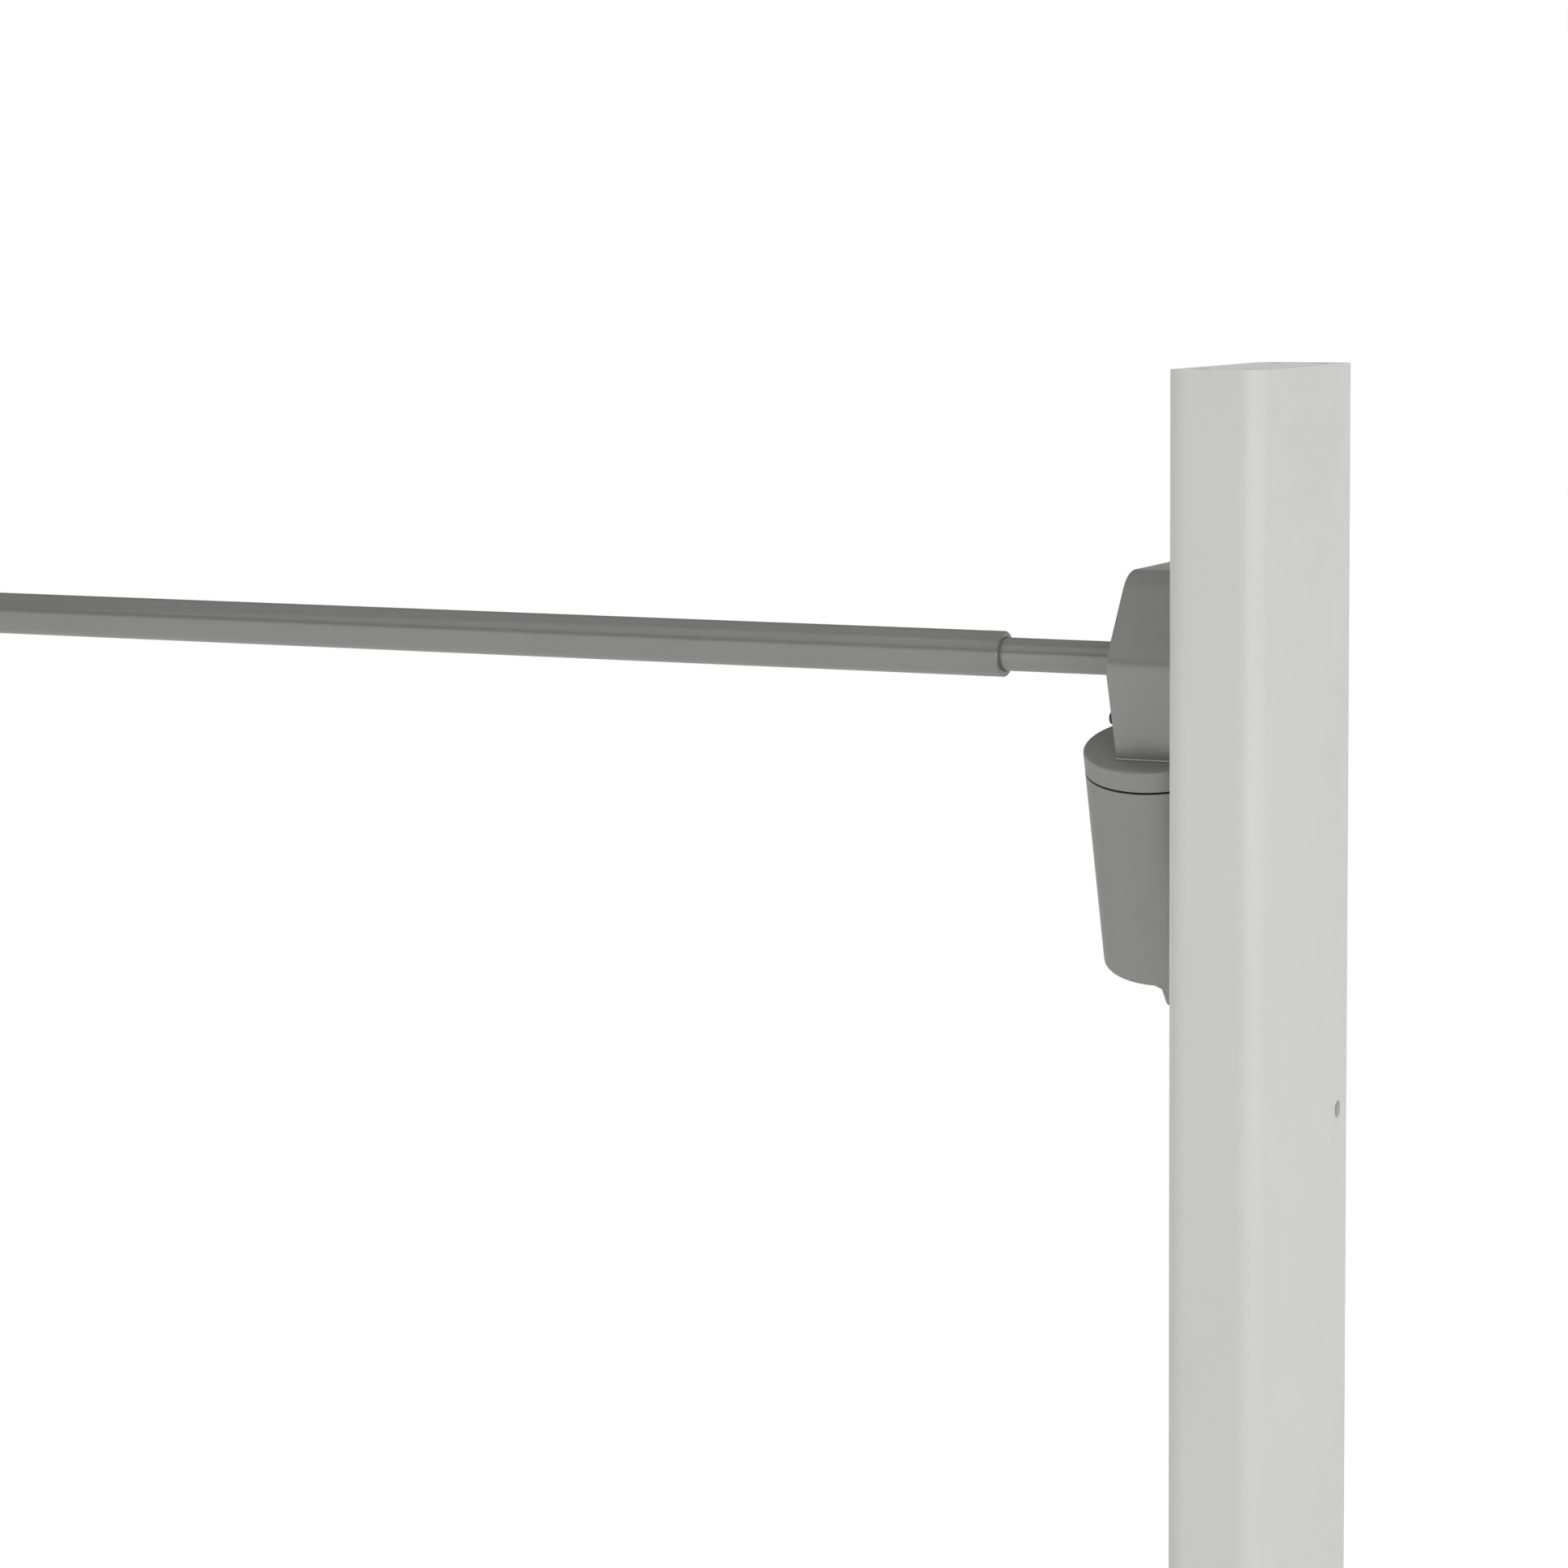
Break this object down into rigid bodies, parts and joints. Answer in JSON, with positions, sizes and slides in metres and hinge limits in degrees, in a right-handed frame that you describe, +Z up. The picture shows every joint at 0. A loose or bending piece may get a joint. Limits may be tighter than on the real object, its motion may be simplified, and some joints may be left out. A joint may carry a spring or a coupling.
{
  "type": "linear actuator",
  "caption": "Desk lifting column: telescopic tubes with a spindle and nut, driven through a worm gearbox by a tilted motor, with a telescopic cross shaft.",
  "frame": {"origin": "centre of the foot plate's underside", "axes": "+Z up the column, +Y to its back, -X the way the cross shaft leaves"},
  "size_m": [0.746, 0.157, 0.62],
  "materials": {
    "light_paint": "satin powder coat",
    "grey_housing": "satin, fine moulded grain",
    "grey_tube": "satin",
    "shaft_steel": "ground satin",
    "dark_screw": "blackened",
    "black_seal": "matt",
    "glide_plastic": "natural",
    "bronze": "sintered",
    "cast_aluminium": "as cast",
    "gear_steel": "cut and oiled",
    "bearing_steel": "polished",
    "core_iron": "varnished",
    "copper": "enamelled",
    "carbon": "pressed carbon"
  },
  "bodies": {
    "lower_column": {"foot_plate": "light_paint", "lower_profile": "light_paint", "lower_glides": "glide_plastic", "nut_carrier": "cast_aluminium", "carrier_screws": "dark_screw", "lift_nut": "bronze", "nut_retainer": "glide_plastic", "retainer_screws": "dark_screw"},
    "upper_column": {"upper_profile": "light_paint", "top_plate": "light_paint", "glide_collar": "glide_plastic", "angle_gear_housing": "cast_aluminium", "angle_gear_lid": "cast_aluminium", "lid_screws": "dark_screw", "spigot_bush": "bronze", "spindle_bearing": "bearing_steel", "gearbox_frame": "grey_housing", "frame_bolts": "dark_screw", "gearbox_housing": "grey_housing", "cover_screws": "dark_screw", "outboard_bush": "bronze", "steady_bush": "bronze", "motor_lid": "grey_housing", "motor_screws": "dark_screw", "seam_seal": "black_seal", "motor_cover": "grey_housing", "gland_body": "grey_housing", "gland_nut": "grey_housing", "worm_bearing": "bearing_steel", "end_bearing": "bearing_steel", "motor_can": "bearing_steel", "motor_end_cap": "cast_aluminium", "magnets": "core_iron", "brush_plate": "glide_plastic", "brushes": "carbon"},
    "spindle": {"spindle": "shaft_steel", "spindle_circlip": "bearing_steel", "spindle_collar": "gear_steel", "spindle_end_stop": "glide_plastic", "stop_screw": "dark_screw", "spindle_bevel_gear": "gear_steel"},
    "cross_shaft": {"cross_shaft": "shaft_steel", "shaft_circlips": "bearing_steel", "wheel_key": "gear_steel", "worm_wheel": "bronze", "shaft_bevel_gear": "gear_steel"},
    "rotor": {"worm_shaft": "shaft_steel", "armature": "core_iron", "windings": "copper", "commutator": "copper"},
    "cross_tube": {"cross_tube": "grey_tube", "tube_key": "gear_steel", "key_pins": "dark_screw"}
  },
  "joints": [
    {"name": "lift", "type": "slide", "parent": "lower_column", "child": "upper_column", "axis": [0, 0, 1], "range_m": [0, 0.4]},
    {"name": "motor_turn", "type": "hinge", "parent": "upper_column", "child": "rotor", "pos_m": [-0.0525, 0.01875, 0.49081], "axis": [0, 0.2588, -0.9659], "range_deg": [0, 234000]},
    {"name": "shaft_turn", "type": "hinge", "parent": "upper_column", "child": "cross_shaft", "pos_m": [-0.15, 0.04, 0.4965], "axis": [1, 0, 0], "range_deg": [-9000, 0]},
    {"name": "spindle_turn", "type": "hinge", "parent": "upper_column", "child": "spindle", "pos_m": [0, 0.04, 0.25], "axis": [0, 0, 1], "range_deg": [0, 9000]},
    {"name": "tube_slide", "type": "slide", "parent": "cross_shaft", "child": "cross_tube", "axis": [1, 0, 0], "range_m": [-0.105, 0.055]}
  ],
  "couplings": [
    {"joint": "motor_turn", "follows": "lift", "rad_per_m": 10210},
    {"joint": "shaft_turn", "follows": "lift", "rad_per_m": -392.7},
    {"joint": "spindle_turn", "follows": "lift", "rad_per_m": 392.7}
  ]
}
